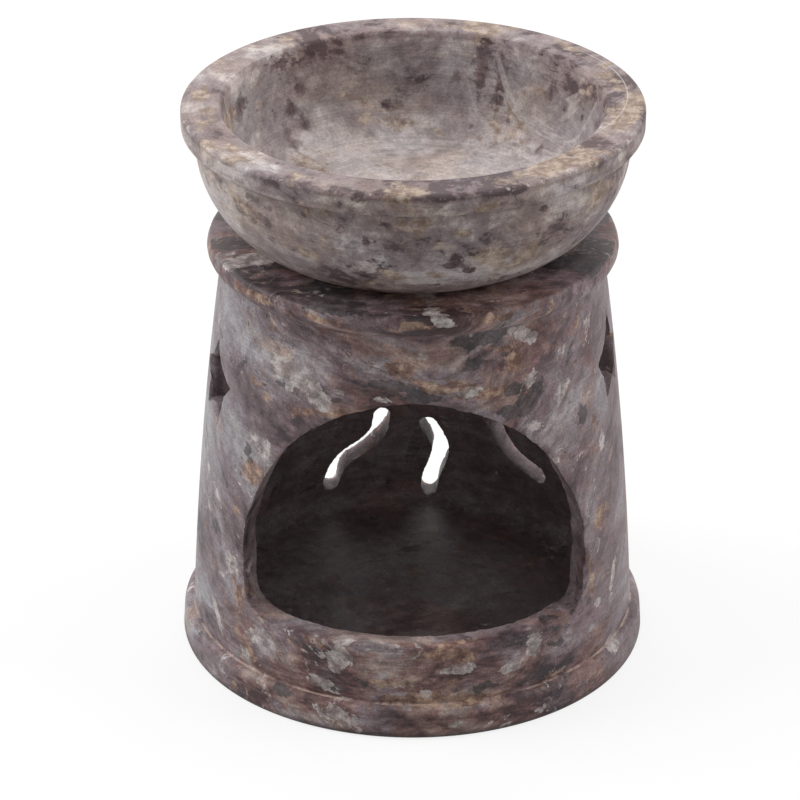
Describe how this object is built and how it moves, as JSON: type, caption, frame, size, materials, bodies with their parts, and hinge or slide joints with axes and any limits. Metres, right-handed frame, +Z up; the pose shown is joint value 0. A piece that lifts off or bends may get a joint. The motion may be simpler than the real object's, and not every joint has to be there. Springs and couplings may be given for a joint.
{
  "type": "essential oil burner",
  "caption": "Soapstone essential oil burner: a turned, hollow stand with an arched candle mouth and cut-out stars and draught slots, and a loose bowl for scented oil on top.",
  "frame": {"origin": "middle of the stand's underside, on the table", "axes": "+Z up along the turned axis, -Y out of the candle mouth, +X to the right seen from the front"},
  "size_m": [0.082, 0.082, 0.1],
  "materials": {
    "stand_stone": "smooth, waxy satin, marbled brown and grey",
    "dish_stone": "smooth, matt, mottled pale grey"
  },
  "bodies": {
    "stand": {"stand": "stand_stone"},
    "dish": {"dish": "dish_stone"}
  },
  "joints": [
    {"name": "dish_lift", "type": "slide", "parent": "stand", "child": "dish", "axis": [0, 0, 1], "range_m": [0, 0.06]}
  ]
}
